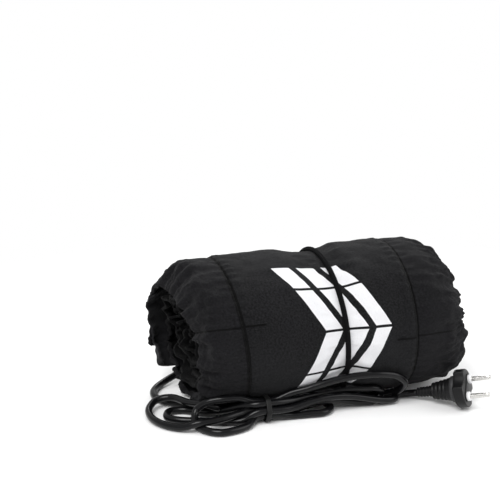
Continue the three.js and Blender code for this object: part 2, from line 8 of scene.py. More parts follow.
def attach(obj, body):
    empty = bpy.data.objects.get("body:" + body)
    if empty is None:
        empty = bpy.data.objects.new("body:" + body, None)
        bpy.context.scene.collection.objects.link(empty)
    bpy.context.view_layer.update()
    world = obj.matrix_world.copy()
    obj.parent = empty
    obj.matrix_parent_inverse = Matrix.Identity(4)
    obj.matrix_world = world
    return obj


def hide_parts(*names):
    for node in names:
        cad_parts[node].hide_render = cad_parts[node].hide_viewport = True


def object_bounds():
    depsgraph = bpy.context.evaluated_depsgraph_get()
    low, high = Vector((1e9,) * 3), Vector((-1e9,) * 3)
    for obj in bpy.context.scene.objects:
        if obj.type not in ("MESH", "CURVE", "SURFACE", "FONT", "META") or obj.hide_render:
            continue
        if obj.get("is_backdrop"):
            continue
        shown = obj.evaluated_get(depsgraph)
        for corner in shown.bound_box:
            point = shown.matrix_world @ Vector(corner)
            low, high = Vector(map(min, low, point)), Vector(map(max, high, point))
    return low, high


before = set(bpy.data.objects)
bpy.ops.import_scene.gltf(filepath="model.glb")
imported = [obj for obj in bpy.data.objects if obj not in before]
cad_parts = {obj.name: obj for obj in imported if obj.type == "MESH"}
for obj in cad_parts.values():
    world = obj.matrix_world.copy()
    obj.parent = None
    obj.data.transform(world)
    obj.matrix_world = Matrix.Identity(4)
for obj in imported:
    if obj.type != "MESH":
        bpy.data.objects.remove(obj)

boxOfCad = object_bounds()
scene = bpy.context.scene
turn = 2 * math.pi
degree = math.pi / 180


# camera at the photograph's angle
view = {
    "eye": (-0.3295, -0.9517, 0.414),
    "target": (-0.0662, -0.0023, 0.150),
    "lens": 76.4,
    "sensor": 36,
}
cameraData = bpy.data.cameras.new("camera")
cameraData.lens = view["lens"]
cameraData.sensor_width = view["sensor"]
cameraObject = bpy.data.objects.new("camera", cameraData)
scene.collection.objects.link(cameraObject)
aim = Vector(view["target"]) - Vector(view["eye"])
cameraObject.location = view["eye"]
cameraObject.rotation_euler = aim.to_track_quat("-Z", "Y").to_euler()
scene.camera = cameraObject
print("camera placed")


# small helpers for meshes

def mix(a, b, share):
    return a + (b - a) * share


def smooth(value, low, high):
    share = np.clip((value - low) / (high - low), 0, 1)
    return share * share * (3 - 2 * share)


def addObject(name, data):
    piece = bpy.data.objects.new(name, data)
    scene.collection.objects.link(piece)
    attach(piece, "root")
    return piece


# rings of points, all with the same count, joined into one closed skin with its own UV map in metres
def skinOf(name, rings, uv=None, closedAlong=False):
    rings = np.asarray(rings, dtype=float)
    count, sides = rings.shape[:2]
    vertices = [tuple(p) for p in rings.reshape(-1, 3)]
    faces = []
    corners = []
    for i in range(count if closedAlong else count - 1):
        k = (i + 1) % count
        for j in range(sides):
            n = (j + 1) % sides
            faces.append((i * sides + j, i * sides + n, k * sides + n, k * sides + j))
            corners.append(((i, j), (i, j + 1), (i + 1, j + 1), (i + 1, j)))
    if not closedAlong:
        for i in (0, count - 1):
            middle = len(vertices)
            vertices.append(tuple(rings[i].mean(axis=0)))
            for j in range(sides):
                n = (j + 1) % sides
                faces.append((i * sides + j, i * sides + n, middle))
                corners.append(((i, j), (i, j), (i, j)))
    data = bpy.data.meshes.new(name)
    data.from_pydata(vertices, [], faces)
    if uv is not None:
        layer = data.uv_layers.new(name="cloth")
        flat = np.array([uv[c] for face in corners for c in face], dtype=np.float32).reshape(-1)
        layer.data.foreach_set("uv", flat)
    shape = bmesh.new()
    shape.from_mesh(data)
    bmesh.ops.recalc_face_normals(shape, faces=shape.faces)
    shape.to_mesh(data)
    shape.free()
    data.shade_smooth()
    return data


# a curve through all points that neither overshoots nor loops where they lie unevenly
def throughPoints(points, steps):
    points = [np.array(p, dtype=float) for p in points]
    line = []
    for i in range(len(points) - 1):
        b, c = points[i], points[i + 1]
        a = points[i - 1] if i else 2 * b - c
        d = points[i + 2] if i + 2 < len(points) else 2 * c - b
        spans = [max(np.linalg.norm(q - p), 1e-9) ** 0.5 for p, q in ((a, b), (b, c), (c, d))]
        first = ((b - a) / spans[0] - (c - a) / (spans[0] + spans[1]) + (c - b) / spans[1]) * spans[1]
        second = ((c - b) / spans[1] - (d - b) / (spans[1] + spans[2]) + (d - c) / spans[2]) * spans[1]
        for k in range(steps):
            t = k / steps
            cube = 2 * (b - c) + first + second
            line.append(b + first * t + (3 * (c - b) - 2 * first - second) * t * t + cube * t ** 3)
    line.append(points[-1])
    return np.array(line)


# rings round a path, each turned on from the last without twisting
def ringsRound(path, radii, sides, closed=False):
    path = np.asarray(path, dtype=float)
    count = len(path)
    radii = np.broadcast_to(radii, (count,))
    if closed:
        tangents = np.roll(path, -1, axis=0) - np.roll(path, 1, axis=0)
    else:
        tangents = np.gradient(path, axis=0)
    tangents /= np.linalg.norm(tangents, axis=1)[:, None]
    side = np.cross(tangents[0], (0.0, 0.0, 1.0))
    if np.linalg.norm(side) < 1e-3:
        side = np.cross(tangents[0], (0.0, 1.0, 0.0))
    angles = np.arange(sides) * turn / sides
    rings = []
    for centre, tangent, radius in zip(path, tangents, radii):
        side = side - tangent * side.dot(tangent)
        side /= np.linalg.norm(side)
        up = np.cross(tangent, side)
        rings.append(centre + radius * (np.cos(angles)[:, None] * side + np.sin(angles)[:, None] * up))
    return np.array(rings)


def lengthAlong(path):
    steps = np.linalg.norm(np.diff(path, axis=0), axis=1)
    return np.concatenate(([0], np.cumsum(steps)))


# UVs in metres for rings round a path, along it and round it
def uvRound(path, radius, sides):
    along = lengthAlong(path)
    along = np.append(along, 2 * along[-1] - along[-2])
    around = turn * radius * np.arange(sides + 1) / sides
    return {(i, j): (along[i], around[j]) for i in range(len(along)) for j in range(sides + 1)}


# a cubic Bezier curve's weights at t, and the slopes of the same
def bezier(t):
    return (1 - t) ** 3, 3 * t * (1 - t) ** 2, 3 * t * t * (1 - t), t ** 3


def bezierSlopes(t):
    return -3 * (1 - t) ** 2, 3 * (1 - t) ** 2 - 6 * t * (1 - t), 6 * t * (1 - t) - 3 * t * t, 3 * t * t


def blended(weights, values):
    return sum(w * v for w, v in zip(weights, values))


# moulded rings along a sleeve: 1 in the middle of each groove, 0 between them
def grooves(share, count, low, high):
    return smooth(0.5 - 0.5 * np.cos(share * count * turn), low, high)


# shader maths: a wrapped socket that adds Math nodes as it is worked with
class Signal:
    def __init__(self, tree, socket):
        self.tree = tree
        self.socket = socket

    def maths(self, operation, *others):
        node = self.tree.nodes.new("ShaderNodeMath")
        node.operation = operation
        for place, value in enumerate((self, *others)):
            if isinstance(value, Signal):
                self.tree.links.new(value.socket, node.inputs[place])
            else:
                node.inputs[place].default_value = value
        return Signal(self.tree, node.outputs[0])

    def __add__(self, other):
        return self.maths("ADD", other)

    def __sub__(self, other):
        return self.maths("SUBTRACT", other)

    def __mul__(self, other):
        return self.maths("MULTIPLY", other)

    def __abs__(self):
        return self.maths("ABSOLUTE")

    def __lt__(self, other):
        return self.maths("LESS_THAN", other)

    def __gt__(self, other):
        return self.maths("GREATER_THAN", other)

    def sine(self):
        return self.maths("SINE")

    def most(self, other):
        return self.maths("MAXIMUM", other)


class Finish:
    def __init__(self, name, slotName, **constants):
        self.material = bpy.data.materials.new(name)
        self.material.use_nodes = True
        self.tree = self.material.node_tree
        self.tree.nodes.clear()
        self.slotName = slotName
        self.output = self.tree.nodes.new("ShaderNodeOutputMaterial")
        self.shader = self.tree.nodes.new("ShaderNodeBsdfPrincipled")
        self.tree.links.new(self.shader.outputs[0], self.output.inputs[0])
        for title, value in constants.items():
            self.shader.inputs[title.replace("_", " ")].default_value = value

    def add(self, kind, settings=None, values=None):
        node = self.tree.nodes.new(kind)
        for title, value in (settings or {}).items():
            setattr(node, title, value)
        for title, value in (values or {}).items():
            socket = node.inputs[title]
            if isinstance(value, Signal):
                self.tree.links.new(value.socket, socket)
            else:
                socket.default_value = value
        return node

    def signal(self, socket):
        return Signal(self.tree, socket)

    def place(self, uvMap=None):
        if uvMap:
            return self.signal(self.add("ShaderNodeUVMap", {"uv_map": uvMap}).outputs[0])
        return self.signal(self.add("ShaderNodeTexCoord").outputs["Object"])

    def parts(self, vector):
        node = self.add("ShaderNodeSeparateXYZ", values={0: vector})
        return [self.signal(socket) for socket in node.outputs]

    def noise(self, vector, scale, detail=2.0, roughness=0.5):
        values = {"Vector": vector, "Scale": scale, "Detail": detail, "Roughness": roughness}
        return self.signal(self.add("ShaderNodeTexNoise", values=values).outputs[0])

    def span(self, value, low, high, newLow, newHigh):
        values = {0: value, 1: low, 2: high, 3: newLow, 4: newHigh}
        return self.signal(self.add("ShaderNodeMapRange", values=values).outputs[0])

    def blend(self, share, first, second):
        node = self.add("ShaderNodeMix", {"data_type": "RGBA"})
        for socket, value in ((node.inputs[0], share), (node.inputs[6], first), (node.inputs[7], second)):
            if isinstance(value, Signal):
                self.tree.links.new(value.socket, socket)
            elif isinstance(value, tuple):
                socket.default_value = (*value, 1)
            else:
                socket.default_value = value
        return self.signal(node.outputs[2])

    def feed(self, title, value):
        self.tree.links.new(value.socket, self.shader.inputs[title])

    def bump(self, height, distance):
        values = {"Height": height, "Distance": distance}
        self.feed("Normal", self.signal(self.add("ShaderNodeBump", values=values).outputs[0]))


def dress(piece, finish):
    piece.data.materials.clear()
    piece.data.materials.append(finish.material)


# woven cloth; its scales are waves in a metre
fabric = {
    "treadDark": (0.0028, 0.0028, 0.0032),
    "treadLight": (0.016, 0.016, 0.0175),
    "skirtDark": (0.0026, 0.0026, 0.003),
    "skirtLight": (0.0135, 0.013, 0.015),
    "speckle": 520.0,
    "threads": 900.0,
    "clouds": 14.0,
    "wear": 55.0,
    "sheen": 0.04,
    "bump": 0.00035,
    "printWhite": (0.80, 0.80, 0.82),
    "inkFlecks": 900.0,
}

# the tread's print: three chevrons that point along the roll, cut through by narrow slits
printing = {
    "slope": 0.5,
    "bars": ((0.003, 0.0085), (0.027, 0.0085), (0.050, 0.0075)),  # each bar's place and half its width
    "end": 0.071,
    "slits": (0.0, 0.044),
    "slitHalf": 0.0013,
}

# sewn lines and the painted shade along them and in the mouths, in metres along the winding from the middle
# of the view, and across from the mat's middle
sewing = {
    "half": 0.0009,
    "seamAt": 0.0812,
    "dartReach": 0.062,
    "left": 0.0133,
    "right": -0.0147,
    "skirtSeam": 0.0014,
    # painted shade in the mouths: where the covered turns begin, and how strongly they are darkened
    "covered": (-0.26, -0.21),  # where the turns that lie inside begin
    "coveredShadeShare": 0.85,
    "shade": (0.0012, 0.0012, 0.0013),
}


def wovenFabric(name, slotName, dark, light):
    constants = {"Roughness": 0.85, "Specular_IOR_Level": 0.1, "Sheen_Weight": fabric["sheen"]}
    cloth = Finish(name, slotName, Sheen_Roughness=0.45, **constants)
    uv = cloth.place("cloth")
    along, across, _ = cloth.parts(uv)
    waves = turn * fabric["threads"]
    weave = (along * waves).sine() * (across * waves).sine()
    flecks = cloth.noise(uv, fabric["speckle"], 3.0, 0.65)
    cloudy = cloth.noise(cloth.place(), fabric["clouds"], 3.0)
    worn = cloth.noise(cloth.place(), fabric["wear"], 4.0, 0.6)
    tone = cloth.span(flecks * 0.75 + cloudy * 0.25, 0.36, 0.66, 0.0, 1.0)
    colour = cloth.blend(tone, dark, light)
    cloth.feed("Roughness", cloth.span(worn, 0.3, 0.7, 0.74, 0.92))
    cloth.bump(weave * 0.5 + flecks * 1.4 + cloudy * 0.8, fabric["bump"])
    return cloth, colour, along, across


# the darts' two lines of painted shade, each on its own side
def dartShade(along, onLeft, onRight):
    left = (abs(along - sewing["left"]) < sewing["half"]) * onLeft
    right = (abs(along - sewing["right"]) < sewing["half"]) * onRight
    return left.most(right)


def treadFabric():
    finish, colour, along, across = wovenFabric(
        "treadFabric", "tread_fabric", fabric["treadDark"], fabric["treadLight"]
    )
    away = abs(along)
    printed = None
    for middle, half in printing["bars"]:
        bar = abs(across + away * printing["slope"] - middle) < half
        printed = bar if printed is None else printed.most(bar)
    printed = printed * (away < printing["end"])
    for slit in printing["slits"]:
        printed = printed * (abs(away - slit) > printing["slitHalf"])
    flecks = finish.noise(finish.place("cloth"), fabric["inkFlecks"], 2.0)
    printed = printed * finish.span(flecks, 0.25, 0.42, 0.82, 1.0)
    # painted shade along the darts and in the recesses at the mat's seams
    darts = dartShade(along, across < -sewing["dartReach"], across > sewing["dartReach"])
    shaded = finish.blend(darts.most(abs(across) > sewing["seamAt"]), colour, sewing["shade"])
    finish.feed("Base Color", finish.blend(printed, shaded, fabric["printWhite"]))
    return finish


def skirtFabric():
    finish, colour, along, down = wovenFabric(
        "skirtFabric", "skirt_fabric", fabric["skirtDark"], fabric["skirtLight"]
    )
    sideways, _, _ = finish.parts(finish.place())
    darts = dartShade(along, sideways < 0.0, sideways > 0.0)
    # painted shade along the darts and in the recess at the skirt's seam
    seamShade = darts.most(down < sewing["skirtSeam"])
    # painted shade: the covered turns, seen only in the mouths, are darkened where the roll's turns shade
    # each other
    covered = finish.span(along, *sewing["covered"], sewing["coveredShadeShare"], 0.0)
    finish.feed("Base Color", finish.blend(covered.most(seamShade), colour, sewing["shade"]))
    return finish


treadFinish = treadFabric()
skirtFinish = skirtFabric()

pileFinish = Finish("flapPile", "flap_pile", Roughness=0.95, Specular_IOR_Level=0.1, Sheen_Weight=0.05)
pileFleck = pileFinish.noise(pileFinish.place(), 1500.0, 2.0)
pileFinish.feed("Base Color", pileFinish.blend(pileFleck, (0.004, 0.004, 0.0045), (0.02, 0.02, 0.022)))
pileFinish.bump(pileFleck, 0.0006)

braid = {
    "along": 2400.0, "around": 2000.0, "dark": (0.0015, 0.0015, 0.0018), "light": (0.007, 0.007, 0.0076),
}
elasticFinish = Finish("elasticBraid", "elastic", Roughness=0.75, Specular_IOR_Level=0.06)
alongElastic, aroundElastic, _ = elasticFinish.parts(elasticFinish.place("cloth"))
oneWay = alongElastic * braid["along"] + aroundElastic * braid["around"]
otherWay = alongElastic * braid["along"] - aroundElastic * braid["around"]
plait = oneWay.sine() * otherWay.sine()
elasticFinish.feed("Base Color", elasticFinish.blend(plait * 0.5 + 0.5, braid["dark"], braid["light"]))
elasticFinish.bump(plait, 0.0004)

thread = {"Base_Color": (0.009, 0.009, 0.01, 1), "Roughness": 0.6, "Specular_IOR_Level": 0.15}
threadFinish = Finish("sewingThread", "skirt_fabric", **thread)
threadWear = threadFinish.noise(threadFinish.place(), 800.0)
threadFinish.feed("Roughness", threadFinish.span(threadWear, 0.3, 0.7, 0.5, 0.75))


# moulded rubber and plastic: slot, dark and light colour, lowest and highest roughness, grain
moulded = {
    "leadJacket": ("lead_jacket", (0.002, 0.002, 0.0024), (0.006, 0.006, 0.0066), (0.13, 0.24), 900.0),
    "plugRubber": ("plug_rubber", (0.003, 0.003, 0.0034), (0.008, 0.008, 0.0085), (0.34, 0.5), 2600.0),
    # the neck band's lighter grey is a painted highlight on its raised rim
    "neckBandHighlight": ("plug_rubber", (0.025, 0.025, 0.026), (0.045, 0.045, 0.047), (0.4, 0.55), 2600.0),
    "tiePlastic": ("tie_plastic", (0.003, 0.003, 0.003), (0.007, 0.007, 0.007), (0.4, 0.55), 1500.0),
    "bridgePlastic": ("bridge_plastic", (0.72, 0.72, 0.73), (0.84, 0.84, 0.85), (0.35, 0.5), 1800.0),
}


def mouldedRubber(name):
    slotName, dark, light, (low, high), grain = moulded[name]
    rubber = Finish(name, slotName, Roughness=(low + high) / 2, Specular_IOR_Level=0.22)
    place = rubber.place()
    mottle = rubber.noise(place, 60.0, 4.0, 0.6)
    pores = rubber.noise(place, grain, 2.0)
    rubber.feed("Base Color", rubber.blend(mottle, dark, light))
    rubber.feed("Roughness", rubber.span(mottle, 0.3, 0.7, low, high))
    rubber.bump(pores * 0.4 + mottle, 0.00015)
    return rubber


leadFinish, plugFinish, bandHighlightFinish, tieFinish, bridgeFinish = [mouldedRubber(name) for name in moulded]

pinFinish = Finish("pinNickel", "pin_nickel", Metallic=1.0, Roughness=0.22)
scratches = pinFinish.noise(pinFinish.place(), 420.0, 5.0, 0.7)
pinFinish.feed("Base Color", pinFinish.blend(scratches, (0.55, 0.54, 0.52), (0.76, 0.75, 0.73)))
pinFinish.feed("Roughness", pinFinish.span(scratches, 0.3, 0.7, 0.16, 0.34))
print("finishes made")


# the winding, in millimetres round its own axis; place() takes it to metres on the floor
winding = {
    "width": 166,
    "turns": 7.2,
    "core": 6,
    "leftRadius": 78,
    "rightRadius": 81.5,
    "endAngle": -44,
    "restFlat": 1.2,
    "gap": 0.3,
    "leanLeft": 16,
    "leanRight": 7,
    "leanTowards": 60,
    "shift": (-4.169, -2.306),  # from the winding's axis to the model's middle, seen from above
}
whole = winding["turns"] * turn


# 0 at the left seam and beyond it, 1 at the right one
def shareAcross(x):
    return np.clip(x / winding["width"] + 0.5, 0, 1)


def endRadius(x):
    return mix(winding["leftRadius"], winding["rightRadius"], shareAcross(x))


def pitchAt(x):
    return (endRadius(x) - winding["core"] + winding["gap"]) / (winding["turns"] + 1)


def turnsInside(angle):
    return (whole - angle) / turn


def directionAt(angle):
    return winding["endAngle"] * degree + whole - angle


def angleFacing(direction):
    return whole - (direction - winding["endAngle"]) * degree


def radiusAt(angle, x):
    return winding["core"] + pitchAt(x) - winding["gap"] + pitchAt(x) * angle / turn


def middleHeight(x):
    return radiusAt(angleFacing(270), x) - winding["restFlat"]


def leanAt(angle, x):
    towards = (0.5 + np.cos(directionAt(angle) - winding["leanTowards"] * degree)) / 1.5
    outwards = 1 - turnsInside(angle) / winding["turns"]
    return -mix(winding["leanLeft"], winding["leanRight"], shareAcross(x)) * towards * outwards


def place(angle, x, radius, lowest=0.0):
    direction = directionAt(angle)
    y = radius * np.cos(direction)
    z = np.maximum(middleHeight(x) + radius * np.sin(direction), lowest)
    points = np.stack(np.broadcast_arrays(x + leanAt(angle, x), y, z), axis=-1)
    points[..., 0] += winding["shift"][0]
    points[..., 1] += winding["shift"][1]
    return points / 1000


# smooth seeded values for folds, which meet again after a whole turn: the direction goes round a circle
def roundField(direction, v, spread, seed, octaves=2):
    roughness, finer = 0.6, 2.0
    direction, v = np.broadcast_arrays(direction, v)
    spots = [
        Vector((math.cos(a) * spread, math.sin(a) * spread, b + seed))
        for a, b in zip(direction.ravel(), v.ravel())
    ]
    values = [noise.fractal(spot, roughness, finer, octaves) for spot in spots]
    return np.array(values).reshape(direction.shape)


# the angles at which rings stand, close together on the outer turns and further apart inside
def stations(endAngle, fineTurns, fine, coarse):
    outer = np.arange(turnsInside(endAngle), fineTurns, 1 / fine)
    inner = np.arange(fineTurns, winding["turns"] + 1e-6, 1 / coarse)
    return whole - np.concatenate((outer, inner))[::-1] * turn


# the waist under the elastic cord; the ends are in turns from the mat's outer end
waist = {
    "x": 14,
    "flat": 3,
    "left": 46,
    "right": 24,
    "depth": 6,
    "innerShare": 0.46,  # share of the depth that reaches the next turn
    "dropEnds": (1.02, 1.1),  # where the outer face's depth drops to that share
    "outerEnds": (1.95, 2.1),  # where it fades out
    "innerEnds": (0.95, 1.05),  # where the inner face's depth fades out
}

# the mat
mat = {
    "rows": 84,
    "innerRows": 12,
    "stations": (1.06, 300, 30),
    "outermost": (1.0, 1.04),
    "seamDrop": 1.6,
    "seamReach": 5,
    "pucker": 0.55,
    "puckers": 46,
    "puckerAt": 5,
    "puckerReach": 5.5,
    "wrinkle": 1.5,
    "wrinkleWidth": 34,
    "wrinkleMean": 0.15,
    "wrinkleEnds": (2, 14),
    "pull": 1.5,
    "pullWidth": 30,
    "pullStarts": (2.5, 8),
    "pullEnds": (12, 34),
    "dartDepth": 1.0,
    "dartHalf": 1.1,
    "dartEnds": (16, 24),
    "dartLeft": -9.5,  # degrees from the middle of the view, along the left and right darts
    "dartRight": 10.5,
    "perDegree": 1.33,  # millimetres of the outer turn
}
facing = 168 * degree  # the side of the roll that faces the camera, from the back over the top


def waistAt(angle, x, innerFace=False):
    turns = turnsInside(angle)
    reach = np.where(x < waist["x"], waist["left"], waist["right"])
    fade = 1 - smooth(np.abs(x - waist["x"]), waist["flat"], reach)
    if innerFace:
        share = waist["innerShare"] * (1 - smooth(turns, *waist["innerEnds"]))
    else:
        dropFrom, dropTo = waist["dropEnds"]
        drop = np.clip((turns - dropFrom) / (dropTo - dropFrom), 0, 1)
        covered = waist["innerShare"] * (1 - smooth(turns, *waist["outerEnds"]))
        share = np.where(turns < dropTo, mix(1, waist["innerShare"], drop), covered)
    return waist["depth"] * fade * share


def dartGrooves(direction, x):
    groove = 0
    for side, at in ((-1, mat["dartLeft"]), (1, mat["dartRight"])):
        inward = winding["width"] / 2 - side * x
        away = np.abs(np.degrees(direction - facing) - at) * mat["perDegree"]
        fade = 1 - smooth(inward, *mat["dartEnds"])
        groove = groove + mat["dartDepth"] * fade * np.exp(-(away / mat["dartHalf"]) ** 2)
    return groove


# how far the padded outer face stands out from the plain winding
def padding(direction, across):
    fromSeam = winding["width"] / 2 - np.abs(across)
    height = -mat["seamDrop"] * (1 - smooth(fromSeam, 0, mat["seamReach"]))
    wrinkles = roundField(direction, across / mat["wrinkleWidth"], 2.2, 4.0, 3) - mat["wrinkleMean"]
    height = height + mat["wrinkle"] * wrinkles * smooth(fromSeam, *mat["wrinkleEnds"])
    puckers = np.cos(mat["puckers"] * direction + 3 * roundField(direction, 0.0, 3.0, 9.0, 1))
    nearSeam = np.exp(-((fromSeam - mat["puckerAt"]) / mat["puckerReach"]) ** 2)
    height = height + mat["pucker"] * puckers * nearSeam
    # the elastic cord draws small folds towards itself
    fromCord = np.abs(across - waist["x"])
    pulls = roundField(direction, fromCord / mat["pullWidth"], 7.0, 21.0)
    nearCord = smooth(fromCord, *mat["pullStarts"]) * (1 - smooth(fromCord, *mat["pullEnds"]))
    return height + mat["pull"] * pulls * nearCord - dartGrooves(direction, across)


def matSkin():
    half = winding["width"] / 2
    angles = stations(whole, *mat["stations"])[:, None]
    across = np.linspace(-half, half, mat["rows"] + 1)[None, :]
    outermost = 1 - smooth(turnsInside(angles), *mat["outermost"])
    radius = radiusAt(angles, across) - waistAt(angles, across)
    radius = radius + padding(directionAt(angles), across) * outermost
    outer = place(angles, across, radius)
    back = across[:, ::-mat["rows"] // mat["innerRows"]]
    thickness = pitchAt(back) - winding["gap"]
    inner = place(angles, back, radiusAt(angles, back) - waistAt(angles, back, innerFace=True) - thickness)
    rings = np.concatenate((outer, inner), axis=1)
    # the UV's first value runs along the winding from the middle of the view, the second across the mat
    angles = angles[:, 0]
    meanRadius = radiusAt(angles, 0)
    wound = np.zeros(len(angles))
    wound[1:] = np.cumsum((meanRadius[1:] + meanRadius[:-1]) / 2 * np.diff(angles))
    wound = (wound - np.interp(angleFacing(math.degrees(facing)), angles, wound)) / 1000
    girth = np.concatenate((across[0], 2 * half - back[0], [3 * half])) / 1000
    uv = {(i, j): (wound[i], girth[j]) for i in range(len(wound)) for j in range(len(girth))}
    return skinOf("padded_mat", rings, uv)


# the skirts
cloth = {
    "thickness": 1.6,
    "hem": 3.4,
    "endAngle": -26,
    "hemCore": 8,
    "ruffles": 15,
    "ruffleDepth": 2.1,
    "drift": 1.1,
    "crease": 2.2,
    "crumple": 5.0,
    "uneven": 9.0,
    "swell": 3.0,
    "pucker": 0.6,
    "lowest": 1.4,  # how high the outer turn's middle lies where it rests
    "layer": 2.7,  # how much higher each turn inside it lies there
    "stations": (1.3, 300, 90),
    "rows": 40,
    "hemFrom": 0.86,
    "stitchedAt": 0.87,
    "bead": 0.45,  # depth of the line of stitching that closes the hem's tunnel
    "radius": 0.08,  # of the winding, in metres, for the UV along it
    "slack": 1.25,  # the cloth's width over its reach, for the UV across it
    "shownTurns": 1.05,
    "folds": 5,
    "foldDepth": 1.4,
    "hemRecess": 3,
    "openHem": 63,
    "coveredDrop": 3,
    "flare": 14,
}
leftSkirt = {
    "side": -1, "reach": 46, "tilt": 2, "hemRadius": 57, "hemSag": 10,
    "shoulder": 34, "brow": 10, "browTop": 20, "bulge": 3, "gather": 4.6, "seed": 3.0,
}
rightSkirt = {
    "side": 1, "reach": 64, "tilt": 2, "hemRadius": 50, "hemSag": 6,
    "shoulder": 30, "brow": 14, "browTop": 6, "bulge": 2, "gather": 3.6, "seed": 8.0,
}


def skirtLine(skirt, angle, along):
    side = skirt["side"]
    turns = turnsInside(angle)
    direction = directionAt(angle)
    seamX = side * (winding["width"] / 2 + winding["gap"])
    seamRadius = radiusAt(angle, seamX) - mat["seamDrop"] - 1.2
    isOpen = 1 - smooth(turns, 0.16, 0.36)
    flare = cloth["flare"] * (1 - smooth(turns, 0, 0.34))
    span = skirt["reach"] + skirt["tilt"] * np.cos(direction) + flare - cloth["hemRecess"] * turns
    covered = smooth(turns, 1.05, 1.2)
    gathered = skirt["hemRadius"] - skirt["hemSag"] * np.sin(direction)
    outerHem = mix(gathered, cloth["openHem"], isOpen) - cloth["coveredDrop"] * covered
    hemRadius = mix(outerHem, cloth["hemCore"], turns / winding["turns"])
    bulge = skirt["bulge"] * (1 - covered) * (0.5 + 0.5 * np.sin(direction))
    shoulder = mix(np.minimum(skirt["shoulder"], 0.7 * span), span / 3, covered)
    hang = np.minimum(skirt["brow"] + skirt["browTop"] * np.sin(direction), span - shoulder)
    brow = mix(hang, span / 3, covered)
    xs = [seamX + 0 * span, seamX + side * shoulder, seamX + side * (span - brow), seamX + side * span]
    third, twoThirds = [mix(seamRadius, hemRadius, share) for share in (1 / 3, 2 / 3)]
    swollen = seamRadius + bulge
    rs = [seamRadius, mix(swollen, third, covered), mix(swollen, twoThirds, covered), hemRadius]
    t = np.minimum(along, 1)
    x, r = blended(bezier(t), xs), blended(bezier(t), rs)
    dx, dr = blended(bezierSlopes(t), xs), blended(bezierSlopes(t), rs)
    size = np.hypot(dx, dr)
    dx, dr = dx / size, dr / size
    past = along - t
    x, r = x + dx * past * skirt["reach"], r + dr * past * skirt["reach"]
    return x, r, -dr * side, dx * side


def skirtFace(skirt, angle, along, depth, folds):
    x, r, nx, nr = skirtLine(skirt, angle, along)
    turns = turnsInside(angle)
    layer = np.floor(np.maximum(turns - 0.55, 0))
    floor = cloth["lowest"] + layer * cloth["layer"]
    lift = folds + depth
    atSeam = along <= 0
    nx, nr = np.where(atSeam, 0, nx), np.where(atSeam, 1, nr)
    spot = place(angle, x + nx * lift, r + nr * lift, -99)
    middle = place(angle, x, r, -99)[..., 2] * 1000
    spot[..., 2] += np.maximum(floor - middle, 0) / 1000
    # the covered turns' hems stand out unevenly
    uneven = roundField(directionAt(angle), 1.3 * turns, 3.4, skirt["seed"] + 21)
    hidden = smooth(turns, 1.15, 1.5) * np.minimum(along, 1) ** 2
    spot[..., 0] += skirt["side"] * cloth["uneven"] * uneven * hidden / 1000
    spot[..., 2] = np.maximum(spot[..., 2], winding["gap"] / 1000)
    return spot


def skirtFolds(skirt, angle, along):
    direction = directionAt(angle)
    turns = turnsInside(angle)
    calm = mix(0.45, 1, smooth(np.abs(turns), 0.2, 0.4))
    fade = mix(1, 0.35, turns / winding["turns"]) * calm
    t = np.minimum(along, 1)
    strength = 0.8 + 0.2 * np.sin(2 * direction + 1)
    phase = cloth["ruffles"] * direction + 0.5 * np.sin(3 * direction) + cloth["drift"] * turns
    ruffle = cloth["ruffleDepth"] * fade * t ** 2 * strength * np.cos(phase)
    fold = cloth["foldDepth"] * fade * 4 * t * (1 - t) * np.sin(cloth["folds"] * direction + skirt["side"])
    # sharp gathers that run up from the hem, fewer and softer towards the seam
    sharp = 1 - 2 * np.abs(roundField(direction, t * 0.7, 5.2, skirt["seed"]))
    broad = roundField(direction, t * 1.3, 2.4, skirt["seed"] + 5, 3)
    crease = roundField(direction, t * 3.0, 3.6, skirt["seed"] + 9, 3)
    shown = 1 - smooth(turns, 1.15, 1.3)
    gathers = skirt["gather"] * (sharp - 0.55) * smooth(t, 0.05, 0.75) * shown
    swells = cloth["swell"] * broad * smooth(t, 0, 0.3) * (1 - 0.5 * t) * shown
    puckers = cloth["pucker"] * np.cos(mat["puckers"] * direction + 2 * broad) * shown
    puckers = puckers * np.exp(-((t - 0.07) / 0.08) ** 2)
    creases = cloth["crease"] * crease * smooth(t, 0.1, 0.5) * shown
    # the turns inside crumple by themselves
    within = roundField(direction, 0.9 * turns + t, 4.2, skirt["seed"] + 13)
    crumple = cloth["crumple"] * within * t * (1 - shown)
    return ruffle + fold + crumple + (gathers + swells + creases + puckers) * fade


def skirtSkin(name, skirt):
    angles = stations(angleFacing(cloth["endAngle"]), *cloth["stations"])[:, None]
    rows = np.linspace(0, 1, cloth["rows"])[None, :]
    folds = skirtFolds(skirt, angles, rows)
    half = np.where(rows > cloth["hemFrom"], cloth["hem"], cloth["thickness"]) / 2
    bead = np.exp(-((rows - cloth["stitchedAt"]) / 0.012) ** 2) * cloth["bead"]
    dart = mat["dartLeft"] if skirt["side"] < 0 else mat["dartRight"]
    fromDart = np.degrees(directionAt(angles) - facing) - dart
    groove = mat["dartDepth"] * np.exp(-fromDart ** 2)
    outer = skirtFace(skirt, angles, rows, half - bead - groove, folds)
    inner = skirtFace(skirt, angles, rows, -half + bead, folds)[:, ::-1]
    rings = np.concatenate((outer, inner), axis=1)
    wound = (angles[:, 0] - angleFacing(math.degrees(facing))) * cloth["radius"]
    down = rows[0] * skirt["reach"] * cloth["slack"] / 1000
    down = np.concatenate((down, 2 * down[-1] - down[::-1], [2 * down[-1]]))
    uv = {(i, j): (wound[i], down[j]) for i in range(len(wound)) for j in range(len(down))}
    # the hem's stitches follow this line on the outer turn
    seen = turnsInside(angles[:, 0]) < cloth["shownTurns"]
    skirt["hemLine"] = outer[seen, int(np.argmin(np.abs(rows[0] - cloth["stitchedAt"])))]
    return skinOf(name, rings, uv)


# the flaps lie inside the skirts' outer ends
flap = {"start": 28, "end": -44, "from": 0.42, "reach": 9, "thickness": 2.0, "inset": 3.8}


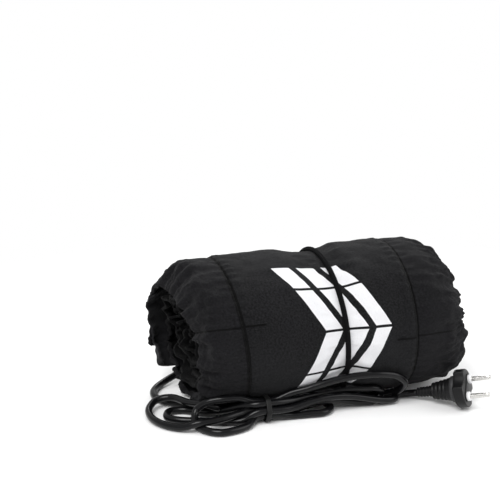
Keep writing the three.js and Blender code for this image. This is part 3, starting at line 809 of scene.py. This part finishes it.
def flapSkin(name, skirt):
    rows = np.linspace(flap["from"], 1 + flap["reach"] / skirt["reach"], 22)[None, :]
    angles = np.linspace(angleFacing(flap["start"]), angleFacing(flap["end"]), 60)[:, None]
    folds = skirtFolds(skirt, angles, rows)
    outer = skirtFace(skirt, angles, rows, flap["thickness"] / 2 - flap["inset"], folds)
    inner = skirtFace(skirt, angles, rows, -flap["thickness"] / 2 - flap["inset"], folds)[:, ::-1]
    return skinOf(name, np.concatenate((outer, inner), axis=1))


matPiece = addObject("padded_mat", matSkin())
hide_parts("tread_mat")
dress(matPiece, treadFinish)
print("mat rolled")

for title, node, skirt, developed in (
    ("left_gathered_skirt", "left_skirt", leftSkirt, 0.048),
    ("right_gathered_skirt", "right_skirt", rightSkirt, 0.062),
):
    piece = addObject(title, skirtSkin(title, skirt))
    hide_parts(node)
    dress(piece, skirtFinish)
print("skirts gathered")

for title, node, skirt in (
    ("left_pile_flap", "left_closing_flap", leftSkirt),
    ("right_pile_flap", "right_closing_flap", rightSkirt),
):
    piece = addObject(title, flapSkin(title, skirt))
    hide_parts(node)
    dress(piece, pileFinish)
print("flaps laid in")


# the elastic cord, tight round the waist
elastic = {"diameter": 5.2, "seat": -0.6, "steps": 240, "sides": 16}


def elasticPath():
    angles = np.linspace(whole - turn, whole, elastic["steps"], endpoint=False)
    surface = radiusAt(angles, waist["x"]) - waistAt(angles, np.array(waist["x"]))
    direction = directionAt(angles)
    radius = surface + elastic["seat"] + elastic["diameter"] / 2
    ring = np.stack((radius * np.cos(direction), radius * np.sin(direction)), axis=1)
    # the tight ring is the outline's widest reach in every direction
    ways = np.linspace(0, turn, elastic["steps"], endpoint=False)
    reach = (ring @ np.stack((np.cos(ways), np.sin(ways)))).max(axis=0)
    slope = (np.roll(reach, -1) - np.roll(reach, 1)) / (2 * turn / elastic["steps"])
    y = reach * np.cos(ways) - slope * np.sin(ways)
    z = reach * np.sin(ways) + slope * np.cos(ways)
    degrees = np.degrees(ways)
    back = angleFacing(np.where(degrees < 315, degrees, degrees - 360))
    x = waist["x"] + leanAt(np.minimum(back, whole), waist["x"])
    x = (x + np.roll(x, 3) + np.roll(x, -3)) / 3
    z = np.maximum(z + middleHeight(waist["x"]), elastic["diameter"] / 2 + winding["gap"])
    return np.stack((x + winding["shift"][0], y + winding["shift"][1], z), axis=1) / 1000


elasticLine = elasticPath()
elasticRings = ringsRound(elasticLine, elastic["diameter"] / 2000, elastic["sides"], closed=True)
elasticUv = uvRound(elasticLine, elastic["diameter"] / 2000, elastic["sides"])
elasticPiece = addObject("elastic_cord", skinOf("elastic_cord", elasticRings, elasticUv, closedAlong=True))
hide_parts("retaining_cord")
dress(elasticPiece, elasticFinish)
print("elastic cord tight")


# the mains lead; its route repeats the solid model's points, given in millimetres
lead = {"diameter": 0.007, "sides": 16, "spacing": 0.003}
lead["route"] = [(x / 1000, y / 1000, z / 1000) for x, y, z in (
    (-115, 54, 13.6), (-129, 51.7, 8.7), (-142.2, 45.5, 5.2), (-153, 35.2, 3.9),
    (-159.5, 21.8, 3.7), (-158.8, 7, 3.7), (-150.3, -5.3, 3.7), (-139, -15.3, 3.7),
    (-128.6, -31.2, 3.7), (-117.2, -37.6, 3.7), (-103.6, -41.6, 3.7), (-91.5, -50.6, 3.7),
    (-79, -62, 6.3), (-57, -62, 6.3), (-42.6, -56.3, 3.8), (-28.2, -51.4, 3.7),
    (-13.7, -46.6, 3.7), (1.3, -43.8, 3.7), (16.5, -42.5, 3.7), (31.7, -42.4, 3.7),
    (46.8, -44, 4.1), (60.9, -49, 6.6), (70.6, -58.2, 13.4), (71.1, -67.7, 24.7),
    (60.3, -72, 34), (45.7, -73.6, 37.9), (30.5, -73.3, 38.7), (15.4, -71.4, 37.8),
    (0.3, -69.7, 35.5), (-14.5, -68.7, 32.1), (-29.1, -67.1, 28.2), (-43.6, -64.2, 24.5),
    (-57, -62, 18.9), (-79, -62, 18.9), (-92.9, -60.9, 23.3), (-107.7, -61.2, 24.3),
    (-121.8, -57.8, 22), (-133, -54.9, 13.3), (-135.7, -65.6, 4.8), (-129.6, -78.9, 3.7),
    (-117.9, -87.6, 3.7), (-103.3, -86.1, 3.7), (-89.8, -79.9, 3.7), (-79, -69.2, 6.3),
    (-57, -69.2, 6.3), (-42.1, -68.5, 3.7), (-26.4, -69.5, 3.7), (-10.7, -69.5, 3.7),
    (-1.7, -58.8, 3.9), (-11, -50.6, 9.2), (-26.5, -52.9, 10.8), (-42.1, -54.9, 11.3),
    (-57, -58.3, 12.6), (-79, -58.3, 12.6), (-93, -50.7, 10.9), (-106.3, -47.3, 9),
    (-113.2, -54.3, 14), (-122.4, -51.7, 17), (-135.3, -34.5, 13.3), (-148.3, -13, 11.2),
    (-162.3, -10.8, 9.1), (-171.4, -20.9, 5.5), (-172.5, -35.2, 3.9), (-168.3, -49.2, 3.7),
    (-159.9, -61.1, 3.8), (-148.4, -69.8, 4.9), (-135.6, -74.9, 9.4), (-121.3, -75, 9.8),
    (-106.9, -72.5, 10.9), (-93.1, -67.9, 11.6), (-79, -65.6, 12.6), (-57, -65.6, 12.6),
    (-42.1, -62.5, 10.5), (-27.6, -61.7, 10.7), (-13, -60.6, 10.9), (1.4, -59.6, 10.4),
    (15.7, -58.3, 7.6), (30, -57.7, 4.8), (44.4, -56.5, 4.2), (52.1, -56.1, 11.9),
    (44.4, -60.6, 18.5), (30, -60.4, 19.9), (15.4, -58.6, 19.9), (0.9, -58.6, 19.2),
    (-13.6, -60, 18.5), (-28, -62.1, 18), (-42.3, -65, 17.3), (-57, -69.2, 18.9),
    (-79, -69.2, 18.9), (-92, -60.5, 15.1), (-104.6, -54.4, 10.7), (-116.4, -46.7, 6.8),
    (-127.8, -37.8, 4.6), (-139.3, -28.8, 3.7), (-153, -28.3, 3.7), (-157.7, -41, 3.7),
    (-147.6, -51, 3.7), (-133.9, -56.1, 3.7), (-120.3, -61.6, 3.7), (-106.4, -66.2, 4.1),
    (-92.5, -70.7, 5.1), (-79, -72.9, 12.6), (-57, -72.9, 12.6), (-42.1, -70.9, 12.7),
    (-27, -69, 15.1), (-11.8, -66.9, 16.8), (3.5, -65.3, 16.5), (18.7, -64.2, 14.4),
    (33.7, -63.7, 10.9), (48.6, -62.8, 7.2), (63.6, -60.2, 4.9), (71, -49, 4),
    (83.6, -51.6, 5.1), (90.3, -57.2, 7.5),
)]
leadLine = throughPoints(lead["route"], 12)
steps = lengthAlong(leadLine)
evenly = np.linspace(0, steps[-1], int(steps[-1] / lead["spacing"]))
leadLine = np.stack([np.interp(evenly, steps, leadLine[:, k]) for k in range(3)], axis=1)
leadRings = ringsRound(leadLine, lead["diameter"] / 2, lead["sides"])
leadPiece = addObject("mains_cable", skinOf("mains_cable", leadRings))
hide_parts("mains_lead")
dress(leadPiece, leadFinish)


# its strain relief: a tapered sleeve with rings, from the mat's edge to the lead
relief = {
    "root": (-0.0925, 0.0546, 0.0196), "rootRadius": 0.0045, "tipRadius": 0.0041,
    "rings": 6, "groove": 0.0006, "handle": 0.008, "overlap": 0.0005,
}


def reliefSkin():
    root = np.array(relief["root"])
    first, second = np.array(lead["route"][0]), np.array(lead["route"][1])
    back = (first - second) / np.linalg.norm(first - second)
    tip = first + back * relief["overlap"]
    bent = tip + back * relief["handle"]
    level = root - np.array((relief["handle"], 0, 0))
    t = np.linspace(0, 1, 90)[:, None]
    path = blended(bezier(t), (root, level, bent, tip))
    share = t[:, 0]
    radii = mix(relief["rootRadius"], relief["tipRadius"], share)
    radii = radii - relief["groove"] * grooves(share, relief["rings"], 0.55, 0.8)
    return skinOf("strain_relief", ringsRound(path, radii, 24))


reliefPiece = addObject("strain_relief", reliefSkin())
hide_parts("lead_gland")
dress(reliefPiece, leadFinish)


# the tie round the hank
tie = {
    "x": -68.0, "y": -65.6, "z": 12.6, "pitch": 7.3, "inside": 4.3, "thickness": 1.3, "width": 5.0,
    "corners": 6, "steps": 9, "sides": 16, "slant": 0.4,
}


def tieSkin():
    section = []
    for k in range(tie["sides"]):
        a = turn * k / tie["sides"]
        across = math.copysign(abs(math.cos(a)) ** 0.5, math.cos(a)) * tie["width"] / 2
        out = math.copysign(abs(math.sin(a)) ** 0.7, math.sin(a)) * tie["thickness"] / 2
        section.append((across, out))
    rings = []
    between = turn / tie["corners"]
    for corner in range(tie["corners"]):
        about = corner * between
        for step in range(tie["steps"]):
            way = about + (step / tie["steps"] - 0.5) * between
            ring = []
            for across, out in section:
                reach = tie["inside"] + tie["thickness"] / 2 + out
                y = tie["y"] + tie["pitch"] * math.cos(about) + reach * math.cos(way)
                z = tie["z"] + tie["pitch"] * math.sin(about) + reach * math.sin(way)
                ring.append((tie["x"] + across + tie["slant"] * math.sin(way), y, z))
            rings.append(ring)
    return skinOf("hank_band", np.array(rings) / 1000, closedAlong=True)


tiePiece = addObject("hank_band", tieSkin())
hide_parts("hank_tie")
dress(tiePiece, tieFinish)


# the plug, built with its front face at z = 0 and its pins along +z, then turned into place
plug = {
    "face": (0.1275, -0.0884, 0.0208),
    "heading": -40, "rise": 15, "roll": 40,
    "flange": 18.5, "thickness": 10, "cutOut": 11, "cutOutAt": 24,
    "neck": 24, "neckFront": 12.5, "neckBack": 8, "relief": 16, "reliefFront": 5.6, "reliefBack": 4.5,
    "sides": 144, "edge": 1.2, "backEdge": 1.5, "oval": 0.05,
    "neckRings": 6, "neckGroove": 0.9, "reliefRings": 5, "reliefGroove": 1.0,
    "pinAt": 9.5, "pin": 2.4, "pinLength": 19, "collar": 4.5, "collarHeight": 3,
    "bridgeTop": 0.8, "bridgeAt": 10.0, "bridgeRadius": 5.2,
}
heading, rise = plug["heading"] * degree, plug["rise"] * degree
outwards = Vector((math.cos(heading), math.sin(heading), math.tan(rise))).normalized()
level = Vector((-math.sin(heading), math.cos(heading), 0))
pinLine = Matrix.Rotation(plug["roll"] * degree, 3, outwards) @ level
acrossPins = outwards.cross(pinLine)
plugTurn = Matrix((pinLine, acrossPins, outwards)).transposed().to_4x4()
plugPlace = Matrix.Translation(plug["face"]) @ plugTurn @ Matrix.Scale(0.001, 4)


def setIn(data):
    data.transform(plugPlace)
    return data


def flangeReach(angles):
    reach = np.full_like(angles, float(plug["flange"]))
    for side in (1, -1):
        c = side * plug["cutOutAt"] * np.sin(angles)
        inside = c * c - plug["cutOutAt"] ** 2 + plug["cutOut"] ** 2
        hit = np.where((inside > 0) & (c > 0), c - np.sqrt(np.maximum(inside, 0)), 99)
        reach = np.minimum(reach, hit)
    return reach


def plugSkin():
    angles = np.arange(plug["sides"]) * turn / plug["sides"]
    outline = flangeReach(angles)
    back = -plug["thickness"]
    levels = roundedEnd(outline, 0, plug["edge"], 7)[::-1]
    levels += [(r, -z) for r, z in roundedEnd(outline, -back, plug["backEdge"], 7)]
    inside = outline - plug["backEdge"] - 0.1
    levels.append((np.minimum(plug["neckFront"] - 0.2, inside), back - 0.05))
    profile = []
    for share in np.linspace(0, 1, 41):
        groove = plug["neckGroove"] * grooves(share, plug["neckRings"], 0.5, 0.9) * smooth(share, 0.35, 0.45)
        radius = mix(plug["neckFront"], plug["neckBack"], share ** 0.9)
        profile.append((radius - groove, back - plug["neck"] * share))
    for share in np.linspace(0.02, 1, 45):
        groove = plug["reliefGroove"] * grooves(share, plug["reliefRings"], 0.45, 0.85)
        radius = mix(plug["reliefFront"], plug["reliefBack"], share)
        profile.append((radius - groove, back - plug["neck"] - plug["relief"] * share))
    for radius, height in profile:
        oval = plug["oval"] * smooth(np.array(height), back - plug["neck"], back)
        shape = radius * (1 + oval * np.cos(2 * angles))
        levels.append((np.minimum(shape, inside) if height > back - 1 else shape, height))
    rings = [np.stack((r * np.cos(angles), r * np.sin(angles), 0 * angles + z), axis=1) for r, z in levels]
    return setIn(skinOf("plug_moulding", np.array(rings)))


def turnedRings(profile, sides, x=0.0):
    angles = np.arange(sides) * turn / sides
    return np.array([[(x + r * math.cos(a), r * math.sin(a), z) for a in angles] for r, z in profile])


# the profile of an edge rounded from its side to its top
def roundedEnd(radius, top, edge, steps=5):
    angles = np.linspace(0, turn / 4, steps)
    return [(radius - edge + edge * math.cos(a), top - edge + edge * math.sin(a)) for a in angles]


def joined(name, parts):
    shape = bmesh.new()
    for data in parts:
        shape.from_mesh(data)
        bpy.data.meshes.remove(data)
    data = bpy.data.meshes.new(name)
    shape.to_mesh(data)
    shape.free()
    data.shade_smooth()
    return data


def bridgeSkin():
    outline = []
    for side in (1, -1):
        for k in range(25):
            a = (-90 + k * 7.5) * degree + (0 if side > 0 else math.pi)
            x = side * plug["bridgeAt"] + plug["bridgeRadius"] * math.cos(a)
            outline.append((x, plug["bridgeRadius"] * math.sin(a)))
    outline = np.array(outline)
    # the sides draw in towards the plate's top
    inwards = np.sign(outline) * np.minimum(np.abs(outline) / (15, 5), 1)
    rings = []
    for shrink, z in ((0.0, -1.2), (0.0, 0.4), (0.12, 0.62), (0.4, 0.76), (0.8, plug["bridgeTop"])):
        rings.append([(x, y, z) for x, y in outline - shrink * inwards])
    plate = setIn(skinOf("face_plate", np.array(rings)))
    top = plug["bridgeTop"] + plug["collarHeight"]
    profile = [(plug["collar"], 0.0), *roundedEnd(plug["collar"], top, 0.8)]
    collars = [skinOf("collar", turnedRings(profile, 40, side * plug["pinAt"])) for side in (1, -1)]
    return plate, setIn(joined("pin_collars", collars))


def pinSkin(name, side):
    end = plug["bridgeTop"] + plug["collarHeight"] + plug["pinLength"]
    shaft = [(plug["pin"], height) for height in (-1.0, 3.0, end - 6)]
    profile = [*shaft, *roundedEnd(plug["pin"], end, 1.9, 8)]
    return setIn(skinOf(name, turnedRings(profile, 32, side * plug["pinAt"])))


def bandSkin():
    # how far each ring stands out from the neck's front, and behind the flange
    steps = ((-0.4, 0.3), (0.35, 0.5), (0.15, 4.6), (-1.9, 4.9))
    profile = [(plug["neckFront"] + out, -plug["thickness"] - behind) for out, behind in steps]
    return setIn(skinOf("neck_band", turnedRings(profile, 96)))


plugPiece = addObject("plug_moulding", plugSkin())
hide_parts("plug_body")
dress(plugPiece, plugFinish)
# the raised band round the neck, coloured lighter grey as a painted highlight
bandPiece = addObject("neck_band", bandSkin())
dress(bandPiece, bandHighlightFinish)
plateSkin, collarSkin = bridgeSkin()
platePiece = addObject("face_plate", plateSkin)
dress(platePiece, plugFinish)
bridgePiece = addObject("pin_collars", collarSkin)
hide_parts("pin_bridge")
dress(bridgePiece, bridgeFinish)
for name, node, side in (("contact_upper", "pin_upper", 1), ("contact_lower", "pin_lower", -1)):
    piece = addObject(name, pinSkin(name, side))
    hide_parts(node)
    dress(piece, pinFinish)
print("plug and tie placed")


# stitches that follow a line: one Geometry Nodes tree, used for each sewn line
stitching = {"spacing": 0.0034, "length": 0.0024, "radius": 0.00028, "seed": 7}


def stitchTree():
    tree = bpy.data.node_groups.new("stitchRow", "GeometryNodeTree")
    face = tree.interface
    face.new_socket("Line", in_out="INPUT", socket_type="NodeSocketGeometry")
    for title in ("Spacing", "Length", "Radius"):
        face.new_socket(title, in_out="INPUT", socket_type="NodeSocketFloat")
    face.new_socket("Thread", in_out="INPUT", socket_type="NodeSocketMaterial")
    face.new_socket("Stitches", in_out="OUTPUT", socket_type="NodeSocketGeometry")
    add = tree.nodes.new
    link = tree.links.new
    into, out = add("NodeGroupInput"), add("NodeGroupOutput")
    curve = add("GeometryNodeMeshToCurve")
    spaced = add("GeometryNodeCurveToPoints")
    spaced.mode = "LENGTH"
    stitch = add("GeometryNodeMeshCylinder")
    stitch.inputs["Vertices"].default_value = 6
    stand = add("GeometryNodeInstanceOnPoints")
    wobble = add("FunctionNodeRandomValue")
    wobble.data_type = "FLOAT_VECTOR"
    wobble.inputs[0].default_value = (0.85, 0.85, 0.85)
    wobble.inputs[1].default_value = (1.1, 1.1, 1.1)
    wobble.inputs["Seed"].default_value = stitching["seed"]
    real, painted = add("GeometryNodeRealizeInstances"), add("GeometryNodeSetMaterial")
    link(into.outputs["Line"], curve.inputs[0])
    link(curve.outputs[0], spaced.inputs[0])
    link(into.outputs["Spacing"], spaced.inputs["Length"])
    link(into.outputs["Radius"], stitch.inputs["Radius"])
    link(into.outputs["Length"], stitch.inputs["Depth"])
    link(spaced.outputs[0], stand.inputs["Points"])
    link(stitch.outputs[0], stand.inputs["Instance"])
    link(spaced.outputs["Rotation"], stand.inputs["Rotation"])
    link(wobble.outputs[0], stand.inputs["Scale"])
    link(stand.outputs[0], real.inputs[0])
    link(real.outputs[0], painted.inputs[0])
    link(into.outputs["Thread"], painted.inputs["Material"])
    link(painted.outputs[0], out.inputs[0])
    return tree


stitchRow = stitchTree()


def sewn(name, lines):
    vertices, edges = [], []
    for line in lines:
        start = len(vertices)
        vertices += [tuple(p) for p in line]
        edges += [(start + i, start + i + 1) for i in range(len(line) - 1)]
    data = bpy.data.meshes.new(name + "_line")
    data.from_pydata(vertices, edges, [])
    carrier = bpy.data.objects.new(name + "_line", data)
    scene.collection.objects.link(carrier)
    rows = carrier.modifiers.new("stitches", "NODES")
    rows.node_group = stitchRow
    values = {title.capitalize(): value for title, value in stitching.items()}
    values["Thread"] = threadFinish.material
    for item in stitchRow.interface.items_tree:
        if item.in_out == "INPUT" and item.name in values:
            rows[item.identifier] = values[item.name]
    bpy.context.view_layer.update()
    evaluated = carrier.evaluated_get(bpy.context.evaluated_depsgraph_get())
    made = bpy.data.meshes.new_from_object(evaluated)
    carrier.modifiers.remove(rows)
    bpy.data.objects.remove(carrier)
    made.name = name
    dress(addObject(name, made), threadFinish)


# one line of stitches on each side of a dart, from the seam inwards
def dartLine(side, at, offset):
    half = winding["width"] / 2
    across = side * np.linspace(half - dartSewing["from"], half - dartSewing["to"], dartSewing["points"])
    angle = np.array(angleFacing(math.degrees(facing) + at + offset))
    radius = radiusAt(angle, across) - waistAt(angle, across) + dartSewing["lift"]
    return place(angle, across, radius)


dartSewing = {"from": 4, "to": 21, "points": 30, "lift": 0.15, "apart": 1.9}
sewn("hem_stitches", [leftSkirt["hemLine"], rightSkirt["hemLine"]])
sewn("dart_stitches", [
    dartLine(side, at, offset)
    for side, at in ((-1, mat["dartLeft"]), (1, mat["dartRight"]))
    for offset in (-dartSewing["apart"], dartSewing["apart"])
])
print("stitches sewn")


# floor, backdrop and light
studio = {
    "floor": 0.93, "half": 6, "below": 0.0003, "fadeFrom": 0.32, "fadeTo": 0.62,
    "world": 0.62, "aim": (0, 0, 0.06),
    "keyLight": ((-0.9, -1.0, 1.7), 1.3, 34.0),
    "fillLight": ((1.5, -0.9, 1.0), 1.6, 13.0),
    "rimLight": ((0.4, 1.4, 1.5), 1.2, 16.0),
}


def studioFloor():
    data = bpy.data.meshes.new("floor")
    half = studio["half"]
    corners = [(x * half, y * half, -studio["below"]) for x, y in ((-1, -1), (1, -1), (1, 1), (-1, 1))]
    data.from_pydata(corners, [], [(0, 1, 2, 3)])
    piece = bpy.data.objects.new("floor", data)
    scene.collection.objects.link(piece)
    piece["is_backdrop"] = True
    paper = Finish("paleFloor", "", Base_Color=(studio["floor"],) * 3 + (1,), Roughness=0.9)
    across, deep, _ = paper.parts(paper.place())
    apart = (across * across + deep * deep).maths("SQRT")
    fading = paper.span(apart, studio["fadeFrom"], studio["fadeTo"], 0.0, 1.0)
    clear = paper.add("ShaderNodeBsdfTransparent")
    faded = paper.add("ShaderNodeMixShader", values={0: fading})
    paper.tree.links.new(paper.shader.outputs[0], faded.inputs[1])
    paper.tree.links.new(clear.outputs[0], faded.inputs[2])
    paper.tree.links.new(faded.outputs[0], paper.output.inputs[0])
    data.materials.append(paper.material)


def softLight(name):
    spot, size, power = studio[name]
    lamp = bpy.data.lights.new(name, "AREA")
    lamp.shape = "DISK"
    lamp.size = size
    lamp.energy = power
    piece = bpy.data.objects.new(name, lamp)
    piece.location = spot
    piece.rotation_euler = (Vector(studio["aim"]) - Vector(spot)).to_track_quat("-Z", "Y").to_euler()
    scene.collection.objects.link(piece)


studioFloor()
for name in ("keyLight", "fillLight", "rimLight"):
    softLight(name)

world = bpy.data.worlds.new("studio")
scene.world = world
world.use_nodes = True
background = world.node_tree.nodes["Background"]
rays = world.node_tree.nodes.new("ShaderNodeLightPath")
seen = Signal(world.node_tree, rays.outputs["Is Camera Ray"])
strength = seen.most(Signal(world.node_tree, rays.outputs["Is Transmission Ray"]))
strength = strength * (1 - studio["world"]) + studio["world"]
background.inputs["Color"].default_value = (1, 1, 1, 1)
world.node_tree.links.new(strength.socket, background.inputs["Strength"])
scene.view_settings.view_transform = "Standard"

bpy.context.view_layer.update()
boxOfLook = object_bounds()


def asList(value):
    return [asList(v) for v in value] if hasattr(value, "__len__") else float(value)


{"cad": asList(boxOfCad), "visual": asList(boxOfLook)}
print("cad box", asList(boxOfCad), "visual box", asList(boxOfLook))
